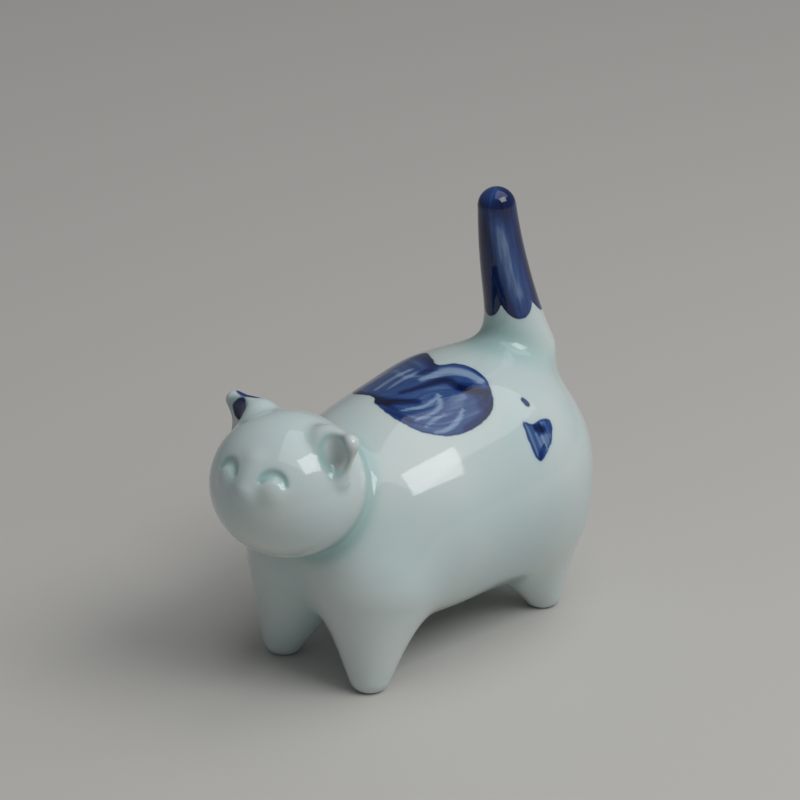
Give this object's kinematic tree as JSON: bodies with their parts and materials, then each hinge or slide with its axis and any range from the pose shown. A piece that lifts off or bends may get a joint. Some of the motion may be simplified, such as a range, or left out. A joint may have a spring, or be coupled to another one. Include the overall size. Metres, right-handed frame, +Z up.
{
  "type": "ceramic cat figurine",
  "caption": "Small hollow porcelain cat ornament standing on stub legs with its tail held up, for resting on a flat surface.",
  "frame": {"origin": "on the resting plane, under the middle of the bounding box", "axes": "+Z up, -Y is the way the cat faces, +X is the cat's left"},
  "size_m": [0.033, 0.0632, 0.0609],
  "materials": {
    "celadon_glazed_porcelain": "gloss",
    "cobalt_painted_porcelain": "gloss"
  },
  "bodies": {
    "root": {"torso_shell": "celadon_glazed_porcelain", "head_shell": "celadon_glazed_porcelain", "left_ear": "celadon_glazed_porcelain", "right_ear": "cobalt_painted_porcelain", "tail": "cobalt_painted_porcelain", "front_left_leg": "celadon_glazed_porcelain", "front_right_leg": "celadon_glazed_porcelain", "hind_left_leg": "celadon_glazed_porcelain", "hind_right_leg": "celadon_glazed_porcelain"}
  },
  "joints": []
}
